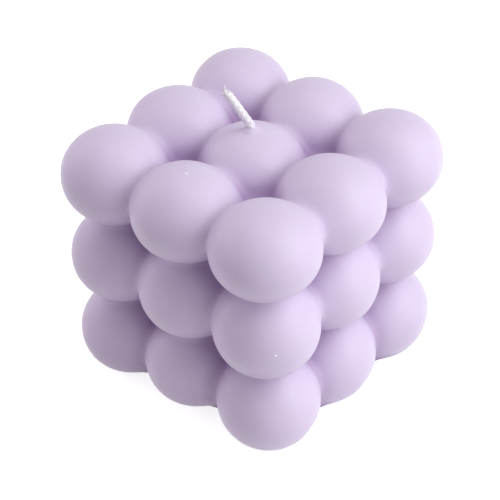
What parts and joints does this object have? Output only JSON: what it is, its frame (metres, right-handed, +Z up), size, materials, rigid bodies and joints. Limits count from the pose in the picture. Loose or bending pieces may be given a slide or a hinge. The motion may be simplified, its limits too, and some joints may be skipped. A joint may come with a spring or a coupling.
{
  "type": "cube candle",
  "caption": "Solid wax candle cast as a cube of merged balls, with a braided cotton wick through the middle that leans where it leaves the top.",
  "frame": {"origin": "middle of the flat base, under the wick", "axes": "+Z up along the wick's hole, +X and +Y out through two neighbouring sides of the cube"},
  "size_m": [0.0596, 0.0596, 0.0649],
  "materials": {
    "wax": "smooth cast wax, pale lilac, satin and slightly translucent",
    "cotton": "braided cotton, off-white"
  },
  "bodies": {
    "root": {"wax_body": "wax", "wick": "cotton"}
  },
  "joints": []
}
